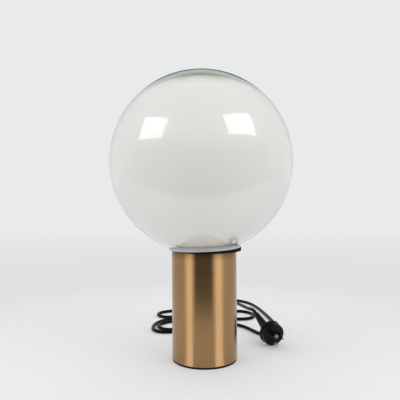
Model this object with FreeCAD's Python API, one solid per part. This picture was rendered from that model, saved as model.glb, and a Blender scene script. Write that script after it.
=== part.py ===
import FreeCAD, Part
import math
import os
from FreeCAD import Vector

# Glass globe table lamp, in millimetres, +Z up, seen from -Y.
# The origin is the middle of the foot, on the table.

# base
base_diameter = 107.0
base_wall = 1.5
base_top = 178.5
foot_thickness = 3.0
foot_setback = 0.6
plate_thickness = 3.0
bottom_plate_thickness = 2.0
ledge_width = 2.4
ledge_height = 3.0
bore_clearance = 0.1
ballast_height = 24.0
ballast_clearance = 0.5
foot_spigot_height = 1.5

# globe
globe_diameter = 300.0
globe_wall = 3.0
neck_radius = 56.6
lip_radius = 59.0
lip_thickness = 4.0
mouth_radius = 43.0
globe_lean = 2.0
globe_side_step = 1.0
opal_gap = 1.5
opal_wall = 2.5
opal_crown_drop = 7.5
opal_crown_radius = 172.0
opal_blend_radius = 50.0
seat_ring_height = 3.3
seat_ring_margin = 0.7

# gasket between the base and the globe
gasket_radius = 57.5
gasket_bore = 44.5
gasket_shift = 3.8
gasket_thickness = 3.0
seat_gap = 0.1

# collar that keeps the globe in place
collar_radius = 40.0
collar_wall = 2.5
collar_height = 9.5
collar_boss_radius = 3.5
collar_boss_height = 5.5
collar_screw_radius = 1.5
collar_screw_length = 4.5
collar_screw_head_radius = 2.8
collar_screw_head_height = 2.0

# tie rods that clamp the base together
tie_circle_radius = 32.0
tie_radius = 2.0
tie_head_radius = 3.5
tie_head_height = 2.5
tie_nut_flats = 7.0
tie_nut_height = 3.2
tie_clearance = 0.3

# nipple and lampholder
nipple_radius = 5.0
nipple_bore = 3.9
nipple_below = 7.5
nut_flats = 14.0
nut_height = 3.2
spacer_radius = 8.0
spacer_height = 23.3
thread_clearance = 0.1
holder_radius = 19.5
holder_wall = 2.0
holder_neck_radius = 10.0
holder_cap_height = 17.0
holder_cap_cone = 8.0
core_flange_thickness = 2.0
core_height = 8.0
core_boss_radius = 16.8
holder_shell_height = 38.0
holder_mouth_gap = 0.6
sleeve_bore = 13.2
sleeve_wall = 0.6
sleeve_height = 26.0
sleeve_flange_radius = 16.4
contact_radius = 5.0
contact_thickness = 1.4
terminal_offset = 8.5
terminal_size = (5.0, 8.0, 6.0)
terminal_screw_radius = 1.4

# bulb
bulb_cap_clearance = 0.08
bulb_cap_wall = 0.6
bulb_cap_height = 24.0
bulb_tip_gap = 0.2
bulb_tip_radius = 4.6
bulb_tip_height = 0.6
bulb_insulator_height = 1.8
bulb_skirt_height = 6.0
bulb_neck_radius = 14.0
bulb_housing_height = 38.0
bulb_wall = 1.8
bulb_dome_radius = 30.0
led_plate_thickness = 1.6
led_plate_drop = 2.0

# mains cord
cord_diameter = 6.8
cord_bore_clearance = 0.05
gland_height = 17.0
gland_flange_radius = 7.5
gland_flange_thickness = 2.5
gland_shank_radius = 5.4
gland_hole_clearance = 0.1
gland_shank_length = 7.5
gland_nut_flats = 13.0
gland_nut_thickness = 3.2
boot_length = 26.0
boot_root_radius = 6.0
boot_tip_radius = 4.3
lead_past_clamp = 4.0
clamp_width = 19.0
clamp_length = 10.0
clamp_setback = 24.0
clamp_cover = 2.2
clamp_screw_offset = 6.7
clamp_screw_radius = 1.2
notch_half_width = 14.0
notch_margin = 5.0
wire_radius = 0.9
wire_spread = 2.2
wire_bend_run = 6.0
wire_climb = 8.0
wire_margin = 0.5
earth_tag_radius = 3.4
earth_tag_thickness = 0.8
earth_screw_radius = 1.7
earth_screw_head_radius = 3.0
earth_screw_head_height = 2.2

# switch on the cord
switch_length = 62.0
switch_width = 27.0
switch_height = 18.0
switch_corner = 11.0
switch_edge = 2.0
switch_wall = 1.8
switch_centre = (0.5, 279.0)
switch_turn = 23.0
rocker_length = 22.0
rocker_width = 11.0
rocker_thickness = 5.0
rocker_lift = 1.6
rocker_tilt = 8.0
rocker_gap = 0.5
rocker_pin_radius = 1.3
rocker_pin_length = 2.0
rocker_pin_clearance = 0.05
switch_screw_radius = 1.3
switch_screw_head_radius = 2.4
switch_screw_spacing = 44.0
switch_terminal_size = (7.0, 4.0, 5.0)
switch_terminal_offset = 15.0
switch_terminal_side = 6.0

# plug
plug_face_centre = (124.3, 59.0, 19.9)
plug_turn = 24.0
plug_pitch = 12.0
plug_roll = -18.0
plug_face_radius = 20.0
plug_barrel_length = 12.5
plug_rim_radius = 21.5
plug_rim_thickness = 3.5
plug_cone_length = 14.0
plug_cone_root_radius = 16.0
plug_cone_tip_radius = 9.5
plug_edge = 1.5
plug_insert_radius = 17.5
plug_insert_depth = 3.0
plug_insert_proud = 0.5
relief_length = 50.0
relief_overlap = 2.0
relief_root_radius = 8.5
relief_tip_radius = 4.8
relief_turn = 14.8
relief_rise = 16.9
relief_rib_count = 7
relief_rib_width = 2.6
relief_rib_depth = 1.3
blade_width = 6.35
blade_thickness = 1.6
live_blade_length = 17.1
earth_blade_length = 19.9
live_blade_circle = 7.92
earth_blade_circle = 10.31
sleeve_length = 9.0
sleeve_cover = 0.35
blade_root = 4.0

# route of the cord between its ends, points chosen by hand
lead_to_switch_route = [
    (0, 100, 17), (-3, 118, 12.5), (-13, 134, 7.5), (-33, 145, 4.2), (-56, 148, 3.5),
    (-75, 140, 3.5), (-93, 144, 3.5), (-104, 160, 3.5), (-106, 181, 3.5), (-103, 205, 3.5),
    (-91, 228, 3.5), (-72, 245, 3.5), (-53, 255.5, 5)]
lead_to_plug_route = [
    (54, 303, 5), (68, 312, 3.5), (88, 310, 3.5), (104, 296, 3.5), (112, 276, 3.5),
    (109, 255, 3.5), (96, 241, 3.5), (76, 237.5, 3.5), (48, 243, 3.5), (16, 244, 3.5),
    (-16, 237, 3.5), (-46, 232, 3.5), (-70, 224, 3.5), (-89, 208, 3.5), (-96, 191, 3.5),
    (-93, 174, 3.5), (-82, 160, 3.5), (-65, 156.5, 3.5), (-47, 163.5, 3.5), (-24, 180, 3.5),
    (2, 197, 3.5), (28, 207, 3.5), (52, 203, 3.5), (72, 189, 3.5), (86, 169, 3.5),
    (96, 148, 3.5), (105, 127, 3.5), (121, 118, 3.5), (138.5, 121.5, 3.5), (149.5, 135.5, 3.5),
    (150.5, 159, 3.5), (148, 190, 3.5), (144, 232, 3.5), (139, 275, 3.5), (133, 318, 3.5),
    (125.5, 358, 3.5), (114, 394, 3.5), (94, 422, 3.5), (66, 436, 3.5), (36, 430, 3.5),
    (6, 408, 3.5), (-24, 376, 3.5), (-50, 342, 3.5), (-74, 317, 3.5), (-98, 306, 3.5),
    (-107, 288, 3.5), (-103, 270, 3.5), (-88, 257.5, 3.5), (-69, 259, 3.5), (-51, 275, 3.5),
    (-38, 296, 3.5), (-31, 319, 3.5), (-25, 340, 3.8), (-13, 357, 5.5), (6, 366, 9),
    (27, 362, 14.5), (44, 344, 20.5), (57, 318, 25.8), (66.7, 288, 29.9), (74.6, 256, 33.5),
    (80.7, 226, 35.8), (86.3, 198, 38.3), (91, 172, 41.2)]
exit_run = 19.0
switch_exit_run = 13.0

# sizes that follow
base_radius = base_diameter / 2
bore_radius = base_radius - base_wall
foot_radius = base_radius - foot_setback
foot_spigot_top = foot_thickness + foot_spigot_height
bottom_plate_top = foot_spigot_top + bottom_plate_thickness
plate_radius = bore_radius - bore_clearance
plate_bottom = base_top - plate_thickness
ballast_top = bottom_plate_top + ballast_height
globe_radius = globe_diameter / 2
globe_seat = base_top + gasket_thickness
lip_top = globe_seat + lip_thickness
globe_centre = lip_top + math.sqrt(globe_radius ** 2 - neck_radius ** 2)
globe_inner = globe_radius - globe_wall
spacer_bottom = base_top + nut_height
holder_bottom = spacer_bottom + spacer_height
holder_cap_top = holder_bottom + holder_cap_height
core_top = holder_cap_top + core_height
holder_shell_bottom = holder_cap_top + core_flange_thickness
contact_top = core_top + contact_thickness
bulb_tip_bottom = contact_top + bulb_tip_gap
bulb_insulator_bottom = bulb_tip_bottom + bulb_tip_height
bulb_cap_bottom = bulb_insulator_bottom + bulb_insulator_height
bulb_cap_top = bulb_cap_bottom + bulb_cap_height
bulb_cap_radius = sleeve_bore - bulb_cap_clearance
bulb_rim = bulb_cap_top + bulb_housing_height
bulb_rim_radius = math.sqrt(bulb_dome_radius ** 2 - (bulb_dome_radius / 2) ** 2)
cord_radius = cord_diameter / 2
clamp_distance = bore_radius - clamp_setback
inner_lead_end = clamp_distance - lead_past_clamp
wire_rise_distance = inner_lead_end - wire_bend_run
notch_start = wire_rise_distance - notch_margin
earth_tag_distance = wire_rise_distance + earth_tag_radius
tie_angles = (30, 150, 270)
collar_angles = (90, 210, 330)

up = Vector(0, 0, 1)


def polar(radius, angle):
    turn = math.radians(angle)
    return radius * math.cos(turn), radius * math.sin(turn)


def rod(radius, bottom, top, x=0.0, y=0.0):
    return Part.makeCylinder(radius, top - bottom, Vector(x, y, bottom))


def ring(outer, inner, bottom, top, x=0.0, y=0.0):
    return rod(outer, bottom, top, x, y).cut(rod(inner, bottom - 1, top + 1, x, y))


def block(x0, x1, y0, y1, z0, z1):
    return Part.makeBox(x1 - x0, y1 - y0, z1 - z0, Vector(x0, y0, z0))


def hex_prism(flats, bottom, top, x=0.0, y=0.0):
    reach = flats / math.sqrt(3)
    corners = [Vector(x + polar(reach, a)[0], y + polar(reach, a)[1], bottom) for a in range(0, 361, 60)]
    return Part.Face(Part.makePolygon(corners)).extrude(Vector(0, 0, top - bottom))


def turned(edges):
    # a profile in the XZ plane turned once about the Z axis
    face = Part.Face(Part.Wire(edges))
    return face.revolve(Vector(0, 0, 0), up, 360)


def turned_outline(points):
    corners = [Vector(r, 0, z) for r, z in points]
    return turned(Part.makePolygon(corners + corners[:1]).Edges)


def line(a, b):
    return Part.LineSegment(Vector(a[0], 0, a[1]), Vector(b[0], 0, b[1])).toShape()


def arc(centre_z, radius, start, end, centre_r=0.0):
    # an arc in the XZ plane, its angles in radians from the horizontal
    def point(angle):
        return Vector(centre_r + radius * math.cos(angle), 0, centre_z + radius * math.sin(angle))
    return Part.Arc(point(start), point((start + end) / 2), point(end)).toShape()


def lean(shape):
    # the globe stands a little out of upright on its gasket
    shape.rotate(Vector(globe_side_step, 0, globe_seat), Vector(0, 1, 0), -globe_lean)
    return shape


def shifted(shape, x, y=0.0, z=0.0):
    shape.translate(Vector(x, y, z))
    return shape


def group(shapes):
    return Part.makeCompound(shapes)


# base

def base_tube():
    tube = ring(base_radius, bore_radius, foot_thickness, base_top)
    hole = Part.makeCylinder(gland_shank_radius + gland_hole_clearance, 2 * base_wall + 4,
                             Vector(0, bore_radius - 2, gland_height), Vector(0, 1, 0))
    return tube.cut(hole)


def foot_pad():
    pad = rod(foot_radius, 0, foot_thickness)
    pad = pad.fuse(rod(plate_radius, foot_thickness, foot_spigot_top))
    for angle in tie_angles:
        x, y = polar(tie_circle_radius, angle)
        pad = pad.cut(rod(tie_nut_flats * 0.7, -1, foot_spigot_top + 1, x, y))
    return pad.removeSplitter()


def with_tie_holes(shape, bottom, top):
    for angle in tie_angles:
        x, y = polar(tie_circle_radius, angle)
        shape = shape.cut(rod(tie_radius + tie_clearance, bottom - 1, top + 1, x, y))
    return shape


def bottom_plate():
    plate = rod(plate_radius, foot_spigot_top, bottom_plate_top)
    return with_tie_holes(plate, foot_spigot_top, bottom_plate_top)


def ledge_rings():
    ledge_bore = bore_radius - ledge_width
    lower = ring(bore_radius, ledge_bore, bottom_plate_top, bottom_plate_top + ledge_height)
    upper = ring(bore_radius, ledge_bore, plate_bottom - ledge_height, plate_bottom)
    return group([lower, upper])


def ballast_weight():
    radius = bore_radius - ledge_width - ballast_clearance
    weight = with_tie_holes(rod(radius, bottom_plate_top, ballast_top), bottom_plate_top, ballast_top)
    notch = block(-notch_half_width, notch_half_width, notch_start, base_radius,
                  bottom_plate_top - 1, ballast_top + 1)
    return weight.cut(notch)


def carrier_plate():
    plate = with_tie_holes(rod(plate_radius, plate_bottom, base_top), plate_bottom, base_top)
    plate = plate.cut(rod(nipple_radius + thread_clearance, plate_bottom - 1, base_top + 1))
    plate = plate.cut(rod(earth_screw_radius, plate_bottom - 1, base_top + 1, 0, earth_tag_distance))
    for angle in collar_angles:
        x, y = polar(collar_boss_circle(), angle)
        plate = plate.cut(rod(collar_screw_radius, plate_bottom - 1, base_top + 1, x, y))
    return plate


def tie_rods():
    rods = []
    for angle in tie_angles:
        x, y = polar(tie_circle_radius, angle)
        shank = rod(tie_radius, foot_spigot_top - tie_nut_height, base_top, x, y)
        head = rod(tie_head_radius, base_top, base_top + tie_head_height, x, y)
        slot = block(x - tie_head_radius, x + tie_head_radius, y - 0.5, y + 0.5,
                     base_top + tie_head_height - 1.2, base_top + tie_head_height + 1)
        rods.append(shank.fuse(head).cut(slot).removeSplitter())
    return group(rods)


def tie_nuts():
    nuts = []
    for angle in tie_angles:
        x, y = polar(tie_circle_radius, angle)
        nut = hex_prism(tie_nut_flats, foot_spigot_top - tie_nut_height, foot_spigot_top, x, y)
        nuts.append(nut.cut(rod(tie_radius, 0, base_top, x, y)))
    return group(nuts)


def gasket_ring():
    tall = ring(gasket_radius, gasket_bore, base_top, base_top + 3 * gasket_thickness, gasket_shift)
    reach = 2 * gasket_radius
    above = block(-reach, reach, -reach, reach, globe_seat - seat_gap, globe_seat + reach)
    return tall.cut(lean(above))


def collar_boss_circle():
    return collar_radius - collar_wall - collar_boss_radius + 0.5


def locating_collar():
    collar = ring(collar_radius, collar_radius - collar_wall, base_top, base_top + collar_height)
    for angle in collar_angles:
        x, y = polar(collar_boss_circle(), angle)
        collar = collar.fuse(rod(collar_boss_radius, base_top, base_top + collar_boss_height, x, y))
    for angle in collar_angles:
        x, y = polar(collar_boss_circle(), angle)
        collar = collar.cut(rod(collar_screw_radius, base_top - 1, base_top + collar_screw_length, x, y))
    return collar.removeSplitter()


def collar_screws():
    screws = []
    for angle in collar_angles:
        x, y = polar(collar_boss_circle(), angle)
        shank = rod(collar_screw_radius, plate_bottom, base_top + collar_screw_length, x, y)
        head = rod(collar_screw_head_radius, plate_bottom - collar_screw_head_height, plate_bottom, x, y)
        screws.append(shank.fuse(head).removeSplitter())
    return group(screws)


# lampholder

def nipple():
    return ring(nipple_radius, nipple_bore, plate_bottom - nipple_below,
                holder_bottom + holder_wall + nut_height + 1)


def nipple_nuts():
    bottoms = (plate_bottom - nut_height, base_top, holder_bottom + holder_wall)
    nuts = [hex_prism(nut_flats, z, z + nut_height).cut(rod(nipple_radius, 0, globe_centre)) for z in bottoms]
    return group(nuts)


def spacer_tube():
    return ring(spacer_radius, nipple_radius + thread_clearance, spacer_bottom, holder_bottom)


def holder_cap():
    bore = nipple_radius + thread_clearance
    inner = holder_radius - holder_wall
    cone_top = holder_bottom + holder_cap_cone
    return turned_outline([
        (bore, holder_bottom), (holder_neck_radius, holder_bottom), (holder_radius, cone_top),
        (holder_radius, holder_cap_top), (inner, holder_cap_top), (inner, cone_top + holder_wall),
        (holder_neck_radius, holder_bottom + holder_wall), (bore, holder_bottom + holder_wall)])


def holder_core():
    core = rod(holder_radius, holder_cap_top, holder_shell_bottom)
    core = core.fuse(rod(core_boss_radius, holder_shell_bottom, core_top))
    for side in (-1, 1):
        core = core.cut(rod(terminal_screw_radius, holder_cap_top - 1, core_top + 1, side * terminal_offset))
    return core.removeSplitter()


def holder_terminals():
    length, depth, height = terminal_size
    blocks = []
    for side in (-1, 1):
        x = side * terminal_offset
        body = block(x - length / 2, x + length / 2, -depth / 2, depth / 2,
                     holder_cap_top - height, holder_cap_top)
        post = rod(terminal_screw_radius, holder_cap_top, core_top, x)
        blocks.append(body.fuse(post).removeSplitter())
    return group(blocks)


def holder_mouth_radius():
    # the shell's lip stays clear of the bulb's housing, which widens on its way out
    past_cap = holder_shell_bottom + holder_shell_height - bulb_cap_top
    slope = bulb_wall / (bulb_housing_height / 4)
    return bulb_neck_radius + slope * max(past_cap, 0) + holder_mouth_gap


def holder_shell():
    top = holder_shell_bottom + holder_shell_height
    inner = holder_radius - holder_wall
    lip = holder_mouth_radius()
    return turned_outline([
        (inner, holder_shell_bottom), (holder_radius, holder_shell_bottom), (holder_radius, top - 1),
        (holder_radius - 1, top), (lip, top), (lip, top - holder_wall), (inner, top - holder_wall)])


def screw_sleeve():
    flange = ring(sleeve_flange_radius, sleeve_bore, core_top, core_top + sleeve_wall)
    sleeve = ring(sleeve_bore + sleeve_wall, sleeve_bore, core_top, core_top + sleeve_height)
    return flange.fuse(sleeve).removeSplitter()


def centre_contact():
    return rod(contact_radius, core_top, contact_top)


# bulb

def bulb_tip():
    return rod(bulb_tip_radius, bulb_tip_bottom, bulb_insulator_bottom)


def bulb_insulator():
    return turned_outline([
        (0, bulb_insulator_bottom), (bulb_tip_radius + 1, bulb_insulator_bottom),
        (bulb_cap_radius - bulb_cap_wall, bulb_cap_bottom), (0, bulb_cap_bottom)])


def bulb_cap():
    inner = bulb_cap_radius - bulb_cap_wall
    return turned_outline([
        (0, bulb_cap_bottom), (bulb_cap_radius, bulb_cap_bottom), (bulb_cap_radius, bulb_cap_top),
        (inner, bulb_cap_top), (inner, bulb_cap_bottom + bulb_cap_wall), (0, bulb_cap_bottom + bulb_cap_wall)])


def bulb_housing():
    skirt = bulb_cap_radius - bulb_cap_wall
    skirt_bottom = bulb_cap_top - bulb_skirt_height
    waist = bulb_cap_top + bulb_housing_height / 4
    return turned_outline([
        (skirt - bulb_wall, skirt_bottom), (skirt, skirt_bottom), (skirt, bulb_cap_top),
        (bulb_neck_radius, bulb_cap_top), (bulb_neck_radius + bulb_wall, waist), (bulb_rim_radius, bulb_rim),
        (bulb_rim_radius - bulb_wall, bulb_rim), (bulb_neck_radius, waist), (skirt - bulb_wall, bulb_cap_top)])


def led_plate():
    # the plate rests where the housing narrows to its own radius
    top = bulb_rim - led_plate_drop
    waist = bulb_cap_top + bulb_housing_height / 4
    slope = (bulb_rim_radius - bulb_wall - bulb_neck_radius) / (bulb_rim - waist)
    radius = bulb_neck_radius + slope * (top - led_plate_thickness - waist) - bore_clearance
    plate = rod(radius, top - led_plate_thickness, top)
    chips = [block(x - 1.5, x + 1.5, y - 1.5, y + 1.5, top, top + 0.8)
             for x, y in (polar(radius * 0.6, 45 * step) for step in range(8))]
    return plate.multiFuse(chips).removeSplitter()


def bulb_dome():
    centre = bulb_rim + bulb_dome_radius / 2
    inner = bulb_dome_radius - bulb_wall
    start = math.asin((bulb_rim - centre) / bulb_dome_radius)
    inner_start = math.asin((bulb_rim - centre) / inner)
    quarter = math.pi / 2
    inner_rim = inner * math.cos(inner_start)
    return turned([
        arc(centre, bulb_dome_radius, start, quarter),
        line((0, centre + bulb_dome_radius), (0, centre + inner)),
        arc(centre, inner, quarter, inner_start),
        line((inner_rim, bulb_rim), (bulb_rim_radius, bulb_rim))])


# globe

def globe_glass():
    outer_start = -math.asin((globe_centre - lip_top) / globe_radius)
    inner_start = -math.asin((globe_centre - lip_top) / globe_inner)
    quarter = math.pi / 2
    inner_neck = globe_inner * math.cos(inner_start)
    shell = turned([
        arc(globe_centre, globe_radius, outer_start, quarter),
        line((0, globe_centre + globe_radius), (0, globe_centre + globe_inner)),
        arc(globe_centre, globe_inner, quarter, inner_start),
        line((inner_neck, lip_top), (mouth_radius, lip_top)),
        line((mouth_radius, lip_top), (mouth_radius, globe_seat)),
        line((mouth_radius, globe_seat), (lip_radius, globe_seat)),
        line((lip_radius, globe_seat), (lip_radius, lip_top)),
        line((lip_radius, lip_top), (neck_radius, lip_top))])
    return lean(shifted(shell, globe_side_step))


def opal_arcs(inset, bottom):
    # side sphere, short blend and flatter crown, all set in by the same amount
    side = globe_inner - opal_gap - inset
    blend = opal_blend_radius - inset
    crown = opal_crown_radius - inset
    crown_centre = globe_inner - opal_gap - opal_crown_drop - opal_crown_radius
    side_reach = side - blend
    crown_reach = crown - blend
    blend_z = (side_reach ** 2 - crown_reach ** 2 + crown_centre ** 2) / (2 * crown_centre)
    blend_r = math.sqrt(side_reach ** 2 - blend_z ** 2)
    side_angle = math.atan2(blend_z, blend_r)
    crown_angle = math.atan2(blend_z - crown_centre, blend_r)
    start = math.asin((bottom - globe_centre) / side)
    arcs = [arc(globe_centre, side, start, side_angle),
            arc(globe_centre + blend_z, blend, side_angle, crown_angle, blend_r),
            arc(globe_centre + crown_centre, crown, crown_angle, math.pi / 2)]
    return arcs, side * math.cos(start), globe_centre + crown_centre + crown


def opal_shade():
    bottom = lip_top + seat_ring_height
    outer, outer_foot, outer_pole = opal_arcs(0, bottom)
    inner, inner_foot, inner_pole = opal_arcs(opal_wall, bottom)
    edges = outer + [line((0, outer_pole), (0, inner_pole))] + inner
    edges.append(line((inner_foot, bottom), (outer_foot, bottom)))
    shell = turned(Part.__sortEdges__(edges))
    return lean(shifted(shell, globe_side_step))


def opal_seat_ring():
    top = lip_top + seat_ring_height
    neck = math.sqrt(globe_inner ** 2 - (globe_centre - lip_top) ** 2) - seat_ring_margin
    crown = math.sqrt(globe_inner ** 2 - (globe_centre - top) ** 2) - seat_ring_margin
    seat = turned_outline([(mouth_radius + seat_ring_margin, lip_top), (neck, lip_top), (crown, top),
                           (mouth_radius + seat_ring_margin, top)])
    return lean(shifted(seat, globe_side_step))


# cord

def along_y(radius, start, end, z, x=0.0):
    return Part.makeCylinder(radius, end - start, Vector(x, start, z), Vector(0, 1, 0))


def cord_gland():
    flange_end = base_radius + gland_flange_thickness
    bore = cord_radius + cord_bore_clearance
    flange = along_y(gland_flange_radius, base_radius, flange_end, gland_height)
    shank = along_y(gland_shank_radius, base_radius - gland_shank_length, base_radius, gland_height)
    boot = Part.makeCone(boot_root_radius, boot_tip_radius, boot_length,
                         Vector(0, flange_end, gland_height), Vector(0, 1, 0))
    gland = flange.fuse(shank).fuse(boot)
    return gland.cut(along_y(bore, 0, flange_end + boot_length + 1, gland_height)).removeSplitter()


def gland_nut():
    nut = hex_prism(gland_nut_flats, 0, gland_nut_thickness)
    nut.rotate(Vector(0, 0, 0), Vector(1, 0, 0), -90)
    inner_face = math.sqrt(bore_radius ** 2 - (gland_nut_flats / math.sqrt(3)) ** 2)
    nut = shifted(nut, 0, inner_face - gland_nut_thickness, gland_height)
    return nut.cut(along_y(gland_shank_radius, 0, base_radius, gland_height))


def gland_exit():
    return base_radius + gland_flange_thickness + boot_length


def inner_lead():
    return along_y(cord_radius, inner_lead_end, gland_exit(), gland_height)


def cord_clamp():
    start = clamp_distance
    end = clamp_distance + clamp_length
    top = gland_height + cord_radius + clamp_cover
    body = block(-clamp_width / 2, clamp_width / 2, start, end, bottom_plate_top, top)
    body = body.cut(along_y(cord_radius, 0, base_radius, gland_height))
    for side in (-1, 1):
        body = body.cut(rod(clamp_screw_radius, 0, top + 1, side * clamp_screw_offset, (start + end) / 2))
    return body


def clamp_screws():
    middle = clamp_distance + clamp_length / 2
    top = gland_height + cord_radius + clamp_cover
    screws = []
    for side in (-1, 1):
        x = side * clamp_screw_offset
        shank = rod(clamp_screw_radius, bottom_plate_top, top, x, middle)
        head = rod(2 * clamp_screw_radius, top, top + clamp_screw_radius, x, middle)
        screws.append(shank.fuse(head).removeSplitter())
    return group(screws)


def route_tube(points, radius, name, report=True):
    # straight runs joined by tangent arcs, each as large as its two runs allow
    corners = [Vector(*p) for p in points]
    edges = []
    radii = []
    length = 0.0
    start = corners[0]
    for before, corner, after in zip(corners, corners[1:], corners[2:]):
        way_in = (corner - before).normalize()
        way_out = (after - corner).normalize()
        half_turn = way_in.getAngle(way_out) / 2
        tangent = 0.45 * min(before.distanceToPoint(corner), corner.distanceToPoint(after))
        bend = tangent / math.tan(half_turn)
        first = corner - way_in * tangent
        last = corner + way_out * tangent
        inward = (way_out - way_in).normalize()
        middle = corner + inward * (bend / math.cos(half_turn) - bend)
        edges.append(Part.LineSegment(start, first).toShape())
        edges.append(Part.Arc(first, middle, last).toShape())
        length += start.distanceToPoint(first) + 2 * half_turn * bend
        radii.append(bend)
        start = last
    edges.append(Part.LineSegment(start, corners[-1]).toShape())
    length += start.distanceToPoint(corners[-1])
    heading = corners[1] - corners[0]
    section = Part.Wire(Part.Circle(corners[0], heading, radius).toShape())
    solid = Part.Wire(edges).makePipeShell([section], True, False)
    expected = math.pi * radius ** 2 * length
    if report:
        print(name, "length", round(length, 1), "least radius", round(min(radii), 1),
              "volume ratio", round(solid.Volume / expected, 4))
        print(name, "radii", [round(r) for r in radii])
    return solid


def internal_wires():
    # live and neutral climb to the lampholder, earth ends at its tag
    turn_z = plate_bottom - nipple_below - wire_rise_distance / 2 - wire_margin
    terminal_side = terminal_offset - terminal_size[0] / 2
    terminal_z = holder_cap_top - terminal_size[2] / 2
    inside = wire_spread * 0.8
    wires = []
    for side in (-1, 1):
        wires.append(route_tube([
            (side * wire_spread, inner_lead_end, gland_height),
            (side * wire_spread, wire_rise_distance, gland_height),
            (side * wire_spread, wire_rise_distance, turn_z - wire_climb),
            (side * inside, 0, turn_z),
            (side * inside, 0, terminal_z),
            (side * terminal_side, 0, terminal_z)], wire_radius, "wire", False))
    earth_y = earth_tag_distance - earth_tag_radius + wire_radius
    wires.append(route_tube([
        (0, inner_lead_end, gland_height),
        (0, earth_y, gland_height),
        (0, earth_y, plate_bottom - earth_tag_thickness)], wire_radius, "wire", False))
    return wires


def earth_tag():
    tag = rod(earth_tag_radius, plate_bottom - earth_tag_thickness, plate_bottom, 0, earth_tag_distance)
    return tag.cut(rod(earth_screw_radius, plate_bottom - 2, plate_bottom + 1, 0, earth_tag_distance))


def earth_screw():
    shank = rod(earth_screw_radius, plate_bottom - earth_tag_thickness, base_top, 0, earth_tag_distance)
    tag_bottom = plate_bottom - earth_tag_thickness
    head = rod(earth_screw_head_radius, tag_bottom - earth_screw_head_height, tag_bottom, 0, earth_tag_distance)
    room = rod(2 * wire_radius, 0, base_top, 0, earth_tag_distance - earth_tag_radius + wire_radius)
    return shank.fuse(head.cut(room)).removeSplitter()


# switch

def on_switch(shape):
    # from the switch's own frame, cord along X, to its place behind the base
    shape.rotate(Vector(0, 0, 0), up, switch_turn)
    return shifted(shape, switch_centre[0], switch_centre[1])


def switch_point(along, height):
    x, y = polar(along, switch_turn)
    return (switch_centre[0] + x, switch_centre[1] + y, height)


def switch_axis_height():
    return switch_height / 2


def rounded_slab(length, width, corner, bottom, top):
    slab = block(-length / 2, length / 2, -width / 2, width / 2, bottom, top)
    upright = [e for e in slab.Edges if abs(e.BoundBox.ZLength - (top - bottom)) < 0.001]
    return slab.makeFillet(corner, upright)


def switch_case():
    case = rounded_slab(switch_length, switch_width, switch_corner, 0, switch_height)
    rims = [e for e in case.Edges if e.BoundBox.ZLength < 0.001]
    case = case.makeFillet(switch_edge, rims)
    inner = rounded_slab(switch_length - 2 * switch_wall, switch_width - 2 * switch_wall,
                         switch_corner - switch_wall, switch_wall, switch_height - switch_wall)
    case = case.cut(inner)
    for side in (-1, 1):
        x = side * switch_screw_spacing / 2
        post = rod(2 * switch_screw_radius, switch_wall - 0.2, switch_height - switch_wall + 0.2, x)
        case = case.fuse(post)
    return case.removeSplitter()


def rocker_window(clearance):
    half_length = rocker_length / 2 + clearance
    half_width = rocker_width / 2 + clearance
    return block(-half_length, half_length, -half_width, half_width,
                 switch_height - 2 * switch_wall, switch_height + rocker_thickness)


def switch_half(bottom, top):
    keep = block(-switch_length, switch_length, -switch_width, switch_width, bottom, top)
    return switch_case().common(keep)


def switch_lower_shell():
    shell = switch_half(0, switch_axis_height())
    for side in (-1, 1):
        x = side * switch_screw_spacing / 2
        shell = shell.cut(rod(switch_screw_radius, -1, switch_height, x))
        shell = shell.cut(rod(switch_screw_head_radius, -1, switch_wall, x))
    return on_switch(shell)


def switch_upper_shell():
    shell = switch_half(switch_axis_height(), switch_height)
    pivot = rocker_pivot_height()
    cheek = rocker_width / 2 + rocker_gap
    for side in (-1, 1):
        low = min(side * cheek, side * (cheek + rocker_pin_length + 1))
        shell = shell.fuse(block(-3, 3, low, low + rocker_pin_length + 1, pivot - 3, switch_height - 1))
    shell = shell.cut(rocker_window(rocker_gap))
    reach = cheek + rocker_pin_length
    pins = Part.makeCylinder(rocker_pin_radius + rocker_pin_clearance, 2 * reach,
                             Vector(0, -reach, pivot), Vector(0, 1, 0))
    shell = shell.cut(pins)
    for side in (-1, 1):
        x = side * switch_screw_spacing / 2
        shell = shell.cut(rod(switch_screw_radius, 0, switch_height - switch_wall - 1, x))
    return on_switch(shell.removeSplitter())


def rocker_pivot_height():
    return switch_height - switch_wall - rocker_pin_radius


def switch_rocker():
    # at rest the rocker is off, tipped towards the lamp's end of the cord
    pivot = rocker_pivot_height()
    half_length = rocker_length / 2
    half_width = rocker_width / 2
    top = switch_height + rocker_lift
    bottom = pivot - rocker_pin_radius - 0.6
    rise = math.tan(math.radians(rocker_tilt)) * half_length
    profile = [(-half_length, top + rise), (0, top), (half_length, top + rise), (half_length - 1, pivot),
               (3, bottom), (-3, bottom), (1 - half_length, pivot)]
    corners = [Vector(x, -half_width, z) for x, z in profile]
    rocker = Part.Face(Part.makePolygon(corners + corners[:1])).extrude(Vector(0, rocker_width, 0))
    reach = half_width + rocker_gap + rocker_pin_length - 0.2
    rocker = rocker.fuse(Part.makeCylinder(rocker_pin_radius, 2 * reach, Vector(0, -reach, pivot), Vector(0, 1, 0)))
    rocker = rocker.removeSplitter()
    rocker.rotate(Vector(0, 0, pivot), Vector(0, 1, 0), rocker_tilt)
    return on_switch(rocker)


def switch_terminals():
    length, width, height = switch_terminal_size
    blocks = []
    for end in (-1, 1):
        for side in (-1, 1):
            x = end * switch_terminal_offset
            y = side * switch_terminal_side
            body = block(x - length / 2, x + length / 2, y - width / 2, y + width / 2,
                         switch_wall, switch_wall + height)
            blocks.append(body.cut(rod(1.0, switch_wall + 1, switch_height, x, y)))
    return on_switch(group(blocks))


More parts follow.
